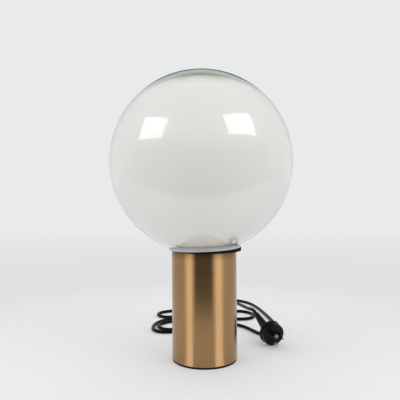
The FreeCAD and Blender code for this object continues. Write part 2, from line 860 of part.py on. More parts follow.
def switch_screws():
    screws = []
    for side in (-1, 1):
        x = side * switch_screw_spacing / 2
        shank = rod(switch_screw_radius, switch_wall - 1.4, switch_height - switch_wall - 1.2, x)
        head = rod(switch_screw_head_radius - 0.2, 0.4, switch_wall, x)
        screws.append(shank.fuse(head).removeSplitter())
    return on_switch(group(screws))


# plug

def heading(turn, pitch):
    # from -Y, turned towards +X and then down
    flat = math.cos(math.radians(pitch))
    return Vector(flat * math.sin(math.radians(turn)), -flat * math.cos(math.radians(turn)),
                  -math.sin(math.radians(pitch)))


def plug_axis():
    return heading(plug_turn, plug_pitch)


def on_plug(shape):
    # from the plug's own frame, blades along +Z and face at zero, to its place on the table
    shape.rotate(Vector(0, 0, 0), up, plug_roll)
    shape.rotate(Vector(0, 0, 0), Vector(1, 0, 0), 90 + plug_pitch)
    shape.rotate(Vector(0, 0, 0), up, plug_turn)
    return shifted(shape, *plug_face_centre)


def relief_axis():
    back = heading(relief_turn, relief_rise)
    return back * -1


def relief_start():
    cone_end = -(plug_barrel_length + plug_rim_thickness + plug_cone_length - relief_overlap)
    return Vector(*plug_face_centre) + plug_axis() * cone_end


def relief_end():
    return relief_start() + relief_axis() * relief_length


def relief_solid():
    return Part.makeCone(relief_root_radius, relief_tip_radius, relief_length, relief_start(), relief_axis())


def plug_relief():
    relief = relief_solid()
    slope = (relief_tip_radius - relief_root_radius) / relief_length
    step = relief_length * 0.7 / relief_rib_count
    for index in range(relief_rib_count):
        place = relief_length * 0.22 + index * step
        surface = relief_root_radius + slope * place
        centre = relief_start() + relief_axis() * place
        outer = Part.makeCylinder(surface + 2, step - relief_rib_width, centre, relief_axis())
        inner = Part.makeCylinder(surface - relief_rib_depth, step - relief_rib_width, centre, relief_axis())
        relief = relief.cut(outer.cut(inner))
    return relief


def plug_body():
    rim_front = -plug_barrel_length
    rim_back = rim_front - plug_rim_thickness
    back = rim_back - plug_cone_length
    insert = plug_insert_radius + bore_clearance
    body = turned_outline([
        (0, back), (plug_cone_tip_radius, back), (plug_cone_root_radius, rim_back),
        (plug_rim_radius, rim_back), (plug_rim_radius, rim_front), (plug_face_radius, rim_front),
        (plug_face_radius, -plug_edge), (plug_face_radius - plug_edge, 0), (insert, 0),
        (insert, -plug_insert_depth), (0, -plug_insert_depth)])
    for pocket in plug_blades_local(blade_root + plug_insert_depth, 0.05):
        body = body.cut(pocket)
    return on_plug(body).cut(relief_solid())


def blade(length, circle, angle, across, root, growth):
    half_width = blade_width / 2 + growth
    half_thick = blade_thickness / 2 + growth
    solid = block(-half_width, half_width, -half_thick, half_thick, -root, length)
    if not growth:
        edges = [e for e in solid.Edges if e.BoundBox.ZMin > length - 0.001]
        solid = solid.makeChamfer(0.5, edges)
    solid.rotate(Vector(0, 0, 0), up, angle + across)
    x, y = polar(circle, angle)
    return shifted(solid, x, y)


def plug_blades_local(root, growth=0.0):
    live = blade(live_blade_length, live_blade_circle, 30, 90, root, growth)
    neutral = blade(live_blade_length, live_blade_circle, 150, 90, root, growth)
    earth = blade(earth_blade_length, earth_blade_circle, 270, 0, root, growth)
    return [live, neutral, earth]


def plug_blades():
    return on_plug(group(plug_blades_local(blade_root + plug_insert_depth)))


def plug_sleeves():
    sleeves = []
    for angle in (30, 150):
        outer = blade(sleeve_length, live_blade_circle, angle, 90, 0, sleeve_cover)
        core = blade(sleeve_length + 1, live_blade_circle, angle, 90, 1, 0.001)
        raised = outer.cut(core)
        raised.translate(Vector(0, 0, plug_insert_proud))
        sleeves.append(raised)
    return on_plug(group(sleeves))


def plug_face():
    face = rod(plug_insert_radius, -plug_insert_depth, plug_insert_proud)
    rim = [e for e in face.Edges if e.BoundBox.ZMin > plug_insert_proud - 0.001]
    face = face.makeChamfer(0.4, rim)
    for pocket in plug_blades_local(plug_insert_depth + 1, 0.05):
        face = face.cut(pocket)
    return on_plug(face)


# the free stretches of the cord

def lead_to_switch():
    start = (0, gland_exit(), gland_height)
    outside = switch_point(-switch_length / 2 - switch_exit_run, switch_axis_height())
    end = switch_point(-switch_length / 2, switch_axis_height())
    return route_tube([start] + lead_to_switch_route + [outside, end], cord_radius, "lead to switch")


def lead_to_plug():
    start = switch_point(switch_length / 2, switch_axis_height())
    leaving = switch_point(switch_length / 2 + switch_exit_run, switch_axis_height())
    end = relief_end()
    outside = end + relief_axis() * exit_run
    points = [start, leaving] + lead_to_plug_route + [tuple(outside), tuple(end)]
    print("relief end", [round(v, 1) for v in end], "then", [round(v, 1) for v in outside])
    return route_tube(points, cord_radius, "lead to plug")


def build():
    wires = internal_wires()
    nodes = {
        "base_tube": base_tube(), "foot_pad": foot_pad(), "bottom_plate": bottom_plate(),
        "ledge_rings": ledge_rings(), "ballast_weight": ballast_weight(), "carrier_plate": carrier_plate(),
        "tie_rods": tie_rods(), "tie_nuts": tie_nuts(), "gasket_ring": gasket_ring(),
        "locating_collar": locating_collar(), "collar_screws": collar_screws(),
        "nipple": nipple(), "nipple_nuts": nipple_nuts(), "spacer_tube": spacer_tube(),
        "holder_cap": holder_cap(), "holder_core": holder_core(), "holder_terminals": holder_terminals(),
        "holder_shell": holder_shell(), "screw_sleeve": screw_sleeve(), "centre_contact": centre_contact(),
        "bulb_tip": bulb_tip(), "bulb_insulator": bulb_insulator(), "bulb_cap": bulb_cap(),
        "bulb_housing": bulb_housing(), "led_plate": led_plate(), "bulb_dome": bulb_dome(),
        "globe_glass": globe_glass(), "opal_shade": opal_shade(), "opal_seat_ring": opal_seat_ring(),
        "cord_gland": cord_gland(), "gland_nut": gland_nut(), "inner_lead": inner_lead(),
        "cord_clamp": cord_clamp(), "clamp_screws": clamp_screws(),
        "wire_live": wires[0], "wire_neutral": wires[1], "wire_earth": wires[2],
        "earth_tag": earth_tag(), "earth_screw": earth_screw(),
        "switch_lower_shell": switch_lower_shell(), "switch_upper_shell": switch_upper_shell(),
        "switch_rocker": switch_rocker(), "switch_terminals": switch_terminals(),
        "switch_screws": switch_screws(),
        "plug_body": plug_body(), "plug_face": plug_face(), "plug_blades": plug_blades(),
        "plug_sleeves": plug_sleeves(), "plug_relief": plug_relief(),
        "lead_to_switch": lead_to_switch(), "lead_to_plug": lead_to_plug()}
    os.makedirs("parts", exist_ok=True)
    for name, shape in nodes.items():
        if not shape.isValid():
            print("not valid:", name)
        shape.exportStep("parts/" + name + ".step")
    print(len(nodes), "nodes")


build()
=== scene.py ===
# Glass globe table lamp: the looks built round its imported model.
import bmesh
import bpy
import numpy as np
from mathutils import Matrix, Vector


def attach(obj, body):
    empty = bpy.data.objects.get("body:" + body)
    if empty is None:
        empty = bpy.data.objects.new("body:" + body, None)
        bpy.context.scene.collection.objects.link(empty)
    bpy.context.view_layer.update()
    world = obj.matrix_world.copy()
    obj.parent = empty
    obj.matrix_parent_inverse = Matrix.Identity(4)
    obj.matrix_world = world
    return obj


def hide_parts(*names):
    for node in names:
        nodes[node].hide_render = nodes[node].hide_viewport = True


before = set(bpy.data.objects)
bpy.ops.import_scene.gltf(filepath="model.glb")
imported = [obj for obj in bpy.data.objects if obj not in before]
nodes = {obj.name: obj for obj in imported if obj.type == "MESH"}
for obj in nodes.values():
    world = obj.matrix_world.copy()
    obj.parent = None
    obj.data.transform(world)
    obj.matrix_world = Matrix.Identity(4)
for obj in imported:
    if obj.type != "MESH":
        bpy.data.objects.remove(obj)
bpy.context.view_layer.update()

print("frame loaded,", len(nodes), "nodes")


# camera, at the photograph's viewpoint; angles in degrees
cameraView = dict(place=(0.0, -0.749, 0.2553), pitch=0.50, yaw=0.48, roll=-0.36, lens=40.59, sensor=36.0)


def makeCamera():
    # right, up and forward directions from yaw and pitch, then turned in the picture by the roll
    pitch, yaw, roll = np.radians([cameraView["pitch"], cameraView["yaw"], cameraView["roll"]])
    right = np.array([np.cos(yaw), np.sin(yaw), 0])
    forward = np.array([-np.sin(yaw) * np.cos(pitch), np.cos(yaw) * np.cos(pitch), np.sin(pitch)])
    up = np.cross(right, forward)
    rightRolled = right * np.cos(roll) + up * np.sin(roll)
    upRolled = up * np.cos(roll) - right * np.sin(roll)
    data = bpy.data.cameras.new("photoCamera")
    data.lens = cameraView["lens"]
    data.sensor_width = cameraView["sensor"]
    data.clip_start = 0.01
    camera = bpy.data.objects.new("photoCamera", data)
    camera.matrix_world = Matrix.Translation(cameraView["place"]) @ Matrix(
        np.stack([rightRolled, upRolled, -forward], 1).tolist()).to_4x4()
    bpy.context.scene.collection.objects.link(camera)
    bpy.context.scene.camera = camera


makeCamera()
print("camera placed")


# directions and places that several pieces share
def heading(turn, pitch):
    # from -Y, turned towards +X and then down, in degrees
    turn, pitch = np.radians([turn, pitch])
    return np.array([np.cos(pitch) * np.sin(turn), -np.cos(pitch) * np.cos(turn), -np.sin(pitch)])


switch = dict(centre=(0.0005, 0.279), turn=23.0, length=0.062, height=0.018)
plug = dict(face=(0.1243, 0.059, 0.0199), turn=24.0, pitch=12.0, faceRadius=0.020, rimRadius=0.0215,
            rimThickness=0.0035, barrel=0.0125, cone=0.014, coneRoot=0.016, coneTip=0.0095,
            edge=0.0015, insert=0.0176, insertDepth=0.003)
relief = dict(turn=14.8, rise=16.9, length=0.050, overlap=0.002, root=0.0085, tip=0.0048, ribs=7)
boot = dict(height=0.017, wallRadius=0.0535, flange=0.0025, flangeRadius=0.0075, length=0.026,
            root=0.0060, tip=0.0043, bore=0.0034, ribs=6)
cord = dict(diameter=0.0068, exitRun=0.019, switchExitRun=0.013, switchLength=0.3026, plugLength=1.7005)


def switchEnd(side, outside=0.0):
    # the middle of the switch's end face, where the cord enters, or a point outside it
    turn = np.radians(switch["turn"])
    along = side * (switch["length"] / 2 + outside)
    return (switch["centre"][0] + along * np.cos(turn), switch["centre"][1] + along * np.sin(turn),
            switch["height"] / 2)


plugAxis = heading(plug["turn"], plug["pitch"])
reliefAxis = -heading(relief["turn"], relief["rise"])
plugBack = plug["barrel"] + plug["rimThickness"] + plug["cone"]
reliefStart = np.array(plug["face"]) - plugAxis * (plugBack - relief["overlap"])
reliefEnd = reliefStart + reliefAxis * relief["length"]
bootEnd = (0.0, boot["wallRadius"] + boot["flange"] + boot["length"], boot["height"])


# mesh helpers
def addPiece(name, points, faces, sharp=35.0):
    # a mesh object from arrays, doubles merged and faces turned outwards, at the origin
    mesh = bpy.data.meshes.new(name)
    mesh.from_pydata(points.reshape(-1, 3).tolist(), [], faces.tolist())
    work = bmesh.new()
    work.from_mesh(mesh)
    bmesh.ops.remove_doubles(work, verts=work.verts, dist=1e-7)
    bmesh.ops.recalc_face_normals(work, faces=work.faces)
    work.to_mesh(mesh)
    work.free()
    mesh.polygons.foreach_set("use_smooth", np.ones(len(mesh.polygons), bool))
    mesh.set_sharp_from_angle(angle=np.radians(sharp))
    piece = bpy.data.objects.new(name, mesh)
    bpy.context.scene.collection.objects.link(piece)
    return piece


def gridFaces(rows, columns, closedRows=True, closedColumns=True):
    # four corners of each cell of a grid, wrapped round where it closes
    row = np.arange(rows if closedRows else rows - 1)[:, None]
    column = np.arange(columns if closedColumns else columns - 1)[None, :]
    nextRow = (row + 1) % rows
    nextColumn = (column + 1) % columns
    corners = [row * columns + column, row * columns + nextColumn,
               nextRow * columns + nextColumn, nextRow * columns + column]
    return np.stack(np.broadcast_arrays(*corners), -1).reshape(-1, 4)


def turned(outline, columns=96):
    # an outline of (radius, height) turned about Z: x = r cos a, y = r sin a
    angle = np.arange(columns) * 2 * np.pi / columns
    r, z = outline[:, :1], outline[:, 1:2]
    return np.stack(np.broadcast_arrays(r * np.cos(angle), r * np.sin(angle), z), -1)


def arcPoints(centre, radius, start, end, steps):
    # points on a circle between two angles in radians
    angle = np.linspace(start, end, steps)
    return np.stack([centre[0] + radius * np.cos(angle), centre[1] + radius * np.sin(angle)], 1)


def rounded(corners, steps=6):
    # corners of (radius, height, rounding): each becomes a parabola between points on its two sides
    corners = np.array(corners, float)
    places, rounding = corners[:, :2], corners[:, 2]
    t = np.linspace(0, 1, steps)[:, None]
    outline = []
    for i, (place, size) in enumerate(zip(places, rounding)):
        if size == 0:
            outline.append(place[None])
            continue
        before = places[i - 1] - place
        after = places[(i + 1) % len(places)] - place
        first = place + before / np.linalg.norm(before) * size
        last = place + after / np.linalg.norm(after) * size
        outline.append((1 - t) ** 2 * first + 2 * t * (1 - t) * place + t ** 2 * last)
    return np.concatenate(outline)


def faded(place, start, startEase, end, endEase):
    # 0 outside start and end, 1 between them, eased in and out over short stretches
    return np.clip((place - start) / startEase, 0, 1) * np.clip((end - place) / endEase, 0, 1)


def moved(points, matrix):
    # points turned and shifted by a 4 x 4 matrix
    matrix = np.array(matrix)
    return points @ matrix[:3, :3].T + matrix[:3, 3]


def aimed(start, axis, roll=0.0):
    # a matrix that takes +Z to a direction and the origin to a point
    turn = Vector(axis).to_track_quat("Z", "Y").to_matrix().to_4x4()
    return Matrix.Translation(Vector(start)) @ turn @ Matrix.Rotation(np.radians(roll), 4, "Z")


def finishPiece(piece, body, material, *stoodFor):
    # its finish, the body it rides on, and the solids it stands for
    piece.data.materials.clear()
    piece.data.materials.append(material)
    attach(piece, body)
    if stoodFor:
        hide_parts(*stoodFor)
    return piece


# node groups: effects that several finishes share
def newGroup(name, inputs, outputs):
    group = bpy.data.node_groups.new(name, "ShaderNodeTree")
    for socket, kind, value in inputs:
        made = group.interface.new_socket(name=socket, in_out="INPUT", socket_type=kind)
        if value is not None:
            made.default_value = value
    for socket, kind in outputs:
        group.interface.new_socket(name=socket, in_out="OUTPUT", socket_type=kind)
    return group, group.nodes.new("NodeGroupInput"), group.nodes.new("NodeGroupOutput")


def addNode(tree, kind, links=(), **values):
    # a node with its settings; links are (input name or number, source socket)
    node = tree.nodes.new(kind)
    for key, value in values.items():
        if key in node.bl_rna.properties:
            setattr(node, key, value)
        else:
            node.inputs[key.replace("_", " ")].default_value = value
    for target, source in links:
        tree.links.new(source, node.inputs[target])
    return node


def maths(tree, operation, a, b=0.5):
    # one sum; a and b are sockets or numbers
    node = tree.nodes.new("ShaderNodeMath")
    node.operation = operation
    for i, value in enumerate((a, b)):
        if isinstance(value, (int, float)):
            node.inputs[i].default_value = value
        else:
            tree.links.new(value, node.inputs[i])
    return node.outputs[0]


def mapped(tree, value, low, high, newLow, newHigh):
    node = addNode(tree, "ShaderNodeMapRange", [("Value", value)])
    for key, number in (("From Min", low), ("From Max", high), ("To Min", newLow), ("To Max", newHigh)):
        if isinstance(number, (int, float)):
            node.inputs[key].default_value = number
        else:
            tree.links.new(number, node.inputs[key])
    return node.outputs["Result"]


def mixColours(tree, factor, first, second, blend="MIX"):
    node = tree.nodes.new("ShaderNodeMix")
    node.data_type = "RGBA"
    node.blend_type = blend
    for index, value in ((0, factor), (6, first), (7, second)):
        if isinstance(value, (int, float)):
            node.inputs[index].default_value = value
        elif isinstance(value, (tuple, list)):
            node.inputs[index].default_value = (*value, 1.0)[:4]
        else:
            tree.links.new(value, node.inputs[index])
    return node.outputs[2]


def tintAndRoughen(group, put, out, pattern, amount, spread, height):
    # a pattern round 0.5 lightens and darkens the colour and shifts the roughness
    shade = mapped(group, pattern, 0.3, 0.7, maths(group, "SUBTRACT", 1.0, amount),
                   maths(group, "ADD", 1.0, amount))
    tint = addNode(group, "ShaderNodeCombineColor", [(0, shade), (1, shade), (2, shade)])
    colour = mixColours(group, 1.0, put.outputs["Colour"], tint.outputs[0], "MULTIPLY")
    rough = maths(group, "ADD", put.outputs["Roughness"],
                  maths(group, "MULTIPLY", maths(group, "SUBTRACT", pattern, 0.5), spread))
    group.links.new(colour, out.inputs["Colour"])
    group.links.new(rough, out.inputs["Roughness"])
    group.links.new(height, out.inputs["Height"])


def makeGrainGroup():
    # fine mottling of colour and roughness, and a height for a bump
    group, put, out = newGroup("fineGrain", [
        ("Colour", "NodeSocketColor", (0.5, 0.5, 0.5, 1)), ("Scale", "NodeSocketFloat", 400.0),
        ("Variation", "NodeSocketFloat", 0.1), ("Roughness", "NodeSocketFloat", 0.4),
        ("Roughness spread", "NodeSocketFloat", 0.1)],
        [("Colour", "NodeSocketColor"), ("Roughness", "NodeSocketFloat"), ("Height", "NodeSocketFloat")])
    place = addNode(group, "ShaderNodeTexCoord")
    fine = addNode(group, "ShaderNodeTexNoise", [("Vector", place.outputs["Object"]),
                                                 ("Scale", put.outputs["Scale"])], Detail=4.0)
    coarseScale = maths(group, "MULTIPLY", put.outputs["Scale"], 0.06)
    coarse = addNode(group, "ShaderNodeTexNoise", [("Vector", place.outputs["Object"]),
                                                   ("Scale", coarseScale)], Detail=3.0)
    both = maths(group, "ADD", maths(group, "MULTIPLY", fine.outputs["Fac"], 0.5),
                 maths(group, "MULTIPLY", coarse.outputs["Fac"], 0.5))
    tintAndRoughen(group, put, out, both, put.outputs["Variation"], put.outputs["Roughness spread"],
                   fine.outputs["Fac"])
    return group


def makeBrushGroup():
    # fine lines round the Z axis: noise squeezed along Z, and drawn out round the tube
    group, put, out = newGroup("brushedLines", [
        ("Colour", "NodeSocketColor", (0.5, 0.5, 0.5, 1)), ("Lines", "NodeSocketFloat", 2600.0),
        ("Depth", "NodeSocketFloat", 0.06), ("Roughness", "NodeSocketFloat", 0.25)],
        [("Colour", "NodeSocketColor"), ("Roughness", "NodeSocketFloat"), ("Height", "NodeSocketFloat")])
    place = addNode(group, "ShaderNodeTexCoord")
    apart = addNode(group, "ShaderNodeSeparateXYZ", [(0, place.outputs["Object"])])
    across = maths(group, "MULTIPLY", apart.outputs["X"], 14.0)
    deep = maths(group, "MULTIPLY", apart.outputs["Y"], 14.0)
    lines = maths(group, "MULTIPLY", apart.outputs["Z"], put.outputs["Lines"])
    squeezed = addNode(group, "ShaderNodeCombineXYZ", [(0, across), (1, deep), (2, lines)])
    streak = addNode(group, "ShaderNodeTexNoise", [("Vector", squeezed.outputs[0])], Scale=1.0, Detail=3.0)
    wide = maths(group, "MULTIPLY", apart.outputs["Z"], 90.0)
    squeezedWide = addNode(group, "ShaderNodeCombineXYZ", [(0, across), (1, deep), (2, wide)])
    cloud = addNode(group, "ShaderNodeTexNoise", [("Vector", squeezedWide.outputs[0])], Scale=1.0, Detail=2.0)
    both = maths(group, "ADD", maths(group, "MULTIPLY", streak.outputs["Fac"], 0.7),
                 maths(group, "MULTIPLY", cloud.outputs["Fac"], 0.3))
    tintAndRoughen(group, put, out, both, put.outputs["Depth"], 0.12, streak.outputs["Fac"])
    return group


grainGroup = makeGrainGroup()
brushGroup = makeBrushGroup()


def newMaterial(name, **values):
    # a material with its Principled shader; plain values go on the shader's own sockets
    material = bpy.data.materials.new(name)
    material.use_nodes = True
    shader = material.node_tree.nodes["Principled BSDF"]
    for key, value in values.items():
        shader.inputs[key.replace("_", " ")].default_value = value
    return material, material.node_tree, shader


def bumpInto(tree, shader, height, strength, distance):
    bump = addNode(tree, "ShaderNodeBump", [("Height", height)], Strength=strength, Distance=distance)
    tree.links.new(bump.outputs["Normal"], shader.inputs["Normal"])


def grained(name, colour, roughness, scale=400.0, variation=0.08, spread=0.12, bump=0.0, **values):
    # a finish whose colour, roughness and small relief come from the fine grain
    material, tree, shader = newMaterial(name, **values)
    grain = tree.nodes.new("ShaderNodeGroup")
    grain.node_tree = grainGroup
    grain.inputs["Colour"].default_value = (*colour, 1)
    grain.inputs["Scale"].default_value = scale
    grain.inputs["Variation"].default_value = variation
    grain.inputs["Roughness"].default_value = roughness
    grain.inputs["Roughness spread"].default_value = spread
    tree.links.new(grain.outputs["Colour"], shader.inputs["Base Color"])
    tree.links.new(grain.outputs["Roughness"], shader.inputs["Roughness"])
    if bump:
        bumpInto(tree, shader, grain.outputs["Height"], 1.0, bump)
    return material


def brushed(name, colour, roughness, lines, depth, anisotropy, bump, paintedShade=None):
    # a metal with lines round the Z axis, which draw its reflections out along Z; an optional band of painted
    # shade darkens its colour towards the top, given as (height where it starts, height where it is full,
    # share of light that it leaves)
    material, tree, shader = newMaterial(name, Metallic=1.0, Anisotropic=anisotropy,
                                         Anisotropic_Rotation=0.25)
    strokes = tree.nodes.new("ShaderNodeGroup")
    strokes.node_tree = brushGroup
    strokes.inputs["Colour"].default_value = (*colour, 1)
    strokes.inputs["Lines"].default_value = lines
    strokes.inputs["Depth"].default_value = depth
    strokes.inputs["Roughness"].default_value = roughness
    colour = strokes.outputs["Colour"]
    if paintedShade:
        place = addNode(tree, "ShaderNodeTexCoord")
        height = addNode(tree, "ShaderNodeSeparateXYZ", [(0, place.outputs["Object"])]).outputs["Z"]
        # painted shade: the colour darkens towards the top, standing for the shadow that the gasket and globe
        # cast on the tube
        shadeMask = maths(tree, "POWER", mapped(tree, height, paintedShade[0], paintedShade[1], 0.0, 1.0), 1.5)
        colour = mixColours(tree, shadeMask, colour, (paintedShade[2],) * 3, "MULTIPLY")
    tree.links.new(colour, shader.inputs["Base Color"])
    tree.links.new(strokes.outputs["Roughness"], shader.inputs["Roughness"])
    tangent = addNode(tree, "ShaderNodeTangent", direction_type="RADIAL", axis="Z")
    tree.links.new(tangent.outputs[0], shader.inputs["Tangent"])
    bumpInto(tree, shader, strokes.outputs["Height"], 1.0, bump)
    return material


finish = dict(
    # the bronze carries painted shade from 164 mm up to the tube's top at 178.5 mm, just under the gasket
    bronze=brushed("brushedBronze", (0.37, 0.222, 0.104), 0.24, 2600.0, 0.07, 0.8, 0.000002,
                   paintedShade=(0.1640, 0.1785, 0.45)),
    plateSteel=brushed("zincPlate", (0.62, 0.62, 0.58), 0.34, 1800.0, 0.05, 0.2, 0.000004),
    foam=grained("foamRubber", (0.005, 0.005, 0.005), 0.9, 900.0, 0.3, 0.1, 0.00012, Specular_IOR_Level=0.15),
    footRubber=grained("footRubber", (0.004, 0.004, 0.004), 0.6, 600.0, 0.15, 0.1, 0.00003,
                       Specular_IOR_Level=0.12),
    ballast=grained("castBallast", (0.11, 0.11, 0.115), 0.7, 260.0, 0.25, 0.2, 0.0003),
    steel=grained("zincSteel", (0.66, 0.66, 0.62), 0.3, 500.0, 0.1, 0.15, 0.00001, Metallic=1.0),
    brass=grained("brassParts", (0.80, 0.60, 0.28), 0.28, 500.0, 0.08, 0.15, 0.00001, Metallic=1.0),
    holder=grained("holderPlastic", (0.018, 0.018, 0.019), 0.42, 700.0, 0.1, 0.15, 0.00002),
    groundGlass=grained("groundGlass", (0.80, 0.82, 0.81), 0.30, 900.0, 0.04, 0.1, 0.00001,
                        IOR=1.5, Transmission_Weight=0.4),
    seat=grained("seatPlastic", (0.72, 0.72, 0.70), 0.5, 500.0, 0.03, 0.1, 0.00002),
    porcelain=grained("porcelain", (0.80, 0.78, 0.72), 0.18, 300.0, 0.03, 0.08, 0.00002),
    nickel=grained("nickelCap", (0.78, 0.77, 0.74), 0.22, 500.0, 0.05, 0.12, 0.00001, Metallic=1.0),
    bulbWhite=grained("bulbPlastic", (0.80, 0.80, 0.79), 0.32, 500.0, 0.02, 0.08, 0.00001),
    ledBoard=grained("ledBoard", (0.76, 0.76, 0.74), 0.35, 300.0, 0.03, 0.1, 0.00001),
    cord=grained("cordPvc", (0.003, 0.003, 0.0034), 0.34, 500.0, 0.15, 0.15, 0.00002,
                 Specular_IOR_Level=0.13),
    plugBlack=grained("plugBlack", (0.004, 0.004, 0.0044), 0.32, 500.0, 0.12, 0.14, 0.00002,
                      Specular_IOR_Level=0.15),
    brown=grained("wireBrown", (0.13, 0.045, 0.015), 0.4, 400.0, 0.08),
    blue=grained("wireBlue", (0.02, 0.09, 0.36), 0.4, 400.0, 0.08),
    green=grained("wireGreen", (0.10, 0.32, 0.03), 0.4, 400.0, 0.08),
)


def makeClearGlass():
    # slightly green soda glass; the light that falls on the opal glass inside goes straight through
    material, tree, shader = newMaterial("clearGlass", Roughness=0.0, IOR=1.46, Transmission_Weight=1.0)
    shader.inputs["Base Color"].default_value = (0.935, 0.95, 0.935, 1)
    path = addNode(tree, "ShaderNodeLightPath")
    straight = maths(tree, "MAXIMUM", path.outputs["Is Shadow Ray"], path.outputs["Is Diffuse Ray"])
    clear = addNode(tree, "ShaderNodeBsdfTransparent")
    clear.inputs["Color"].default_value = (0.96, 0.965, 0.958, 1)
    both = addNode(tree, "ShaderNodeMixShader", [(0, straight), (1, shader.outputs[0]),
                                                 (2, clear.outputs[0])])
    tree.links.new(both.outputs[0], tree.nodes["Material Output"].inputs["Surface"])
    return material


def makeOpalGlass():
    # milk glass: white, smooth, a little cloudy
    material, tree, shader = newMaterial("opalGlass", Roughness=0.25, IOR=1.5)
    place = addNode(tree, "ShaderNodeTexCoord")
    cloud = addNode(tree, "ShaderNodeTexNoise", [("Vector", place.outputs["Object"])], Scale=18.0, Detail=3.0)
    colour = mixColours(tree, cloud.outputs["Fac"], (0.905, 0.88, 0.862), (0.925, 0.90, 0.882))
    tree.links.new(colour, shader.inputs["Base Color"])
    return material


finish["clearGlass"] = makeClearGlass()
finish["opalGlass"] = makeOpalGlass()
print("finishes made:", len(finish))


# the cord, laid on the table behind the base
leadToSwitchRoute = [
    (0.000, 0.100, 0.017), (-0.003, 0.118, 0.0125), (-0.013, 0.134, 0.0075), (-0.033, 0.145, 0.0042),
    (-0.056, 0.148, 0.0035), (-0.075, 0.140, 0.0035), (-0.093, 0.144, 0.0035), (-0.104, 0.160, 0.0035),
    (-0.106, 0.181, 0.0035), (-0.103, 0.205, 0.0035), (-0.091, 0.228, 0.0035), (-0.072, 0.245, 0.0035),
    (-0.053, 0.2555, 0.005)]
leadToPlugRoute = [
    (0.054, 0.303, 0.005), (0.068, 0.312, 0.0035), (0.088, 0.310, 0.0035), (0.104, 0.296, 0.0035),
    (0.112, 0.276, 0.0035), (0.109, 0.255, 0.0035), (0.096, 0.241, 0.0035), (0.076, 0.2375, 0.0035),
    (0.048, 0.243, 0.0035), (0.016, 0.244, 0.0035), (-0.016, 0.237, 0.0035), (-0.046, 0.232, 0.0035),
    (-0.070, 0.224, 0.0035), (-0.089, 0.208, 0.0035), (-0.096, 0.191, 0.0035), (-0.093, 0.174, 0.0035),
    (-0.082, 0.160, 0.0035), (-0.065, 0.1565, 0.0035), (-0.047, 0.1635, 0.0035), (-0.024, 0.180, 0.0035),
    (0.002, 0.197, 0.0035), (0.028, 0.207, 0.0035), (0.052, 0.203, 0.0035), (0.072, 0.189, 0.0035),
    (0.086, 0.169, 0.0035), (0.096, 0.148, 0.0035), (0.105, 0.127, 0.0035), (0.121, 0.118, 0.0035),
    (0.1385, 0.1215, 0.0035), (0.1495, 0.1355, 0.0035), (0.1505, 0.159, 0.0035), (0.148, 0.190, 0.0035),
    (0.144, 0.232, 0.0035), (0.139, 0.275, 0.0035), (0.133, 0.318, 0.0035), (0.1255, 0.358, 0.0035),
    (0.114, 0.394, 0.0035), (0.094, 0.422, 0.0035), (0.066, 0.436, 0.0035), (0.036, 0.430, 0.0035),
    (0.006, 0.408, 0.0035), (-0.024, 0.376, 0.0035), (-0.050, 0.342, 0.0035), (-0.074, 0.317, 0.0035),
    (-0.098, 0.306, 0.0035), (-0.107, 0.288, 0.0035), (-0.103, 0.270, 0.0035), (-0.088, 0.2575, 0.0035),
    (-0.069, 0.259, 0.0035), (-0.051, 0.275, 0.0035), (-0.038, 0.296, 0.0035), (-0.031, 0.319, 0.0035),
    (-0.025, 0.340, 0.0038), (-0.013, 0.357, 0.0055), (0.006, 0.366, 0.009), (0.027, 0.362, 0.0145),
    (0.044, 0.344, 0.0205), (0.057, 0.318, 0.0258), (0.0667, 0.288, 0.0299), (0.0746, 0.256, 0.0335),
    (0.0807, 0.226, 0.0358), (0.0863, 0.198, 0.0383), (0.091, 0.172, 0.0412)]


def makeCord(name, points):
    # a round cord along one smooth spline, the route's points as its control points
    curve = bpy.data.curves.new(name, "CURVE")
    curve.dimensions = "3D"
    curve.resolution_u = 10
    curve.bevel_depth = cord["diameter"] / 2
    curve.bevel_resolution = 5
    curve.use_fill_caps = True
    spline = curve.splines.new("NURBS")
    spline.points.add(len(points) - 1)
    for target, point in zip(spline.points, points):
        target.co = (*point, 1)
    spline.order_u = 3
    spline.use_endpoint_u = True
    piece = bpy.data.objects.new(name, curve)
    bpy.context.scene.collection.objects.link(piece)
    return piece


leadToSwitch = makeCord("leadToSwitch", [bootEnd, *leadToSwitchRoute,
                                         switchEnd(-1, cord["switchExitRun"]), switchEnd(-1)])
finishPiece(leadToSwitch, "base", finish["cord"], "lead_to_switch")
reliefOutside = reliefEnd + reliefAxis * cord["exitRun"]
leadToPlug = makeCord("leadToPlug", [switchEnd(1), switchEnd(1, cord["switchExitRun"]), *leadToPlugRoute,
                                     tuple(reliefOutside), tuple(reliefEnd)])
finishPiece(leadToPlug, "base", finish["cord"], "lead_to_plug")
print("cord laid")


# globe: clear glass outside, opal glass inside, leaning a little to the left
globe = dict(radius=0.150, wall=0.003, neck=0.0566, lip=0.059, lipHeight=0.004, mouth=0.043,
             lean=2.0, seat=(0.001, 0.0, 0.1815), lipEdge=0.0011, groundHeight=0.0060, joint=0.00004,
             rows=120, columns=320)
opal = dict(gap=0.0015, wall=0.0025, crownDrop=0.0075, crownRadius=0.172, blend=0.050,
            seatHeight=0.0033, rows=60)
globeCentre = globe["lipHeight"] + np.sqrt(globe["radius"] ** 2 - globe["neck"] ** 2)
leanMatrix = Matrix.Translation(globe["seat"]) @ Matrix.Rotation(-np.radians(globe["lean"]), 4, "Y")


def makeGlobeGlass():
    # outer sphere down to the lip, then the inner sphere back to the top
    foot = globe["groundHeight"] + globe["joint"]
    inner = globe["radius"] - globe["wall"]
    outerEnd = -np.arcsin((globeCentre - foot) / globe["radius"])
    innerStart = -np.arcsin((globeCentre - foot) / inner)
    outside = arcPoints((0, globeCentre), globe["radius"], np.pi / 2, outerEnd, globe["rows"])
    inside = arcPoints((0, globeCentre), inner, innerStart, np.pi / 2, globe["rows"])
    outline = np.concatenate([outside, inside])
    outline[0, 0] = outline[-1, 0] = 0
    points = moved(turned(outline, globe["columns"]), leanMatrix)
    return addPiece("globeGlass", points, gridFaces(*points.shape[:2], closedRows=False))


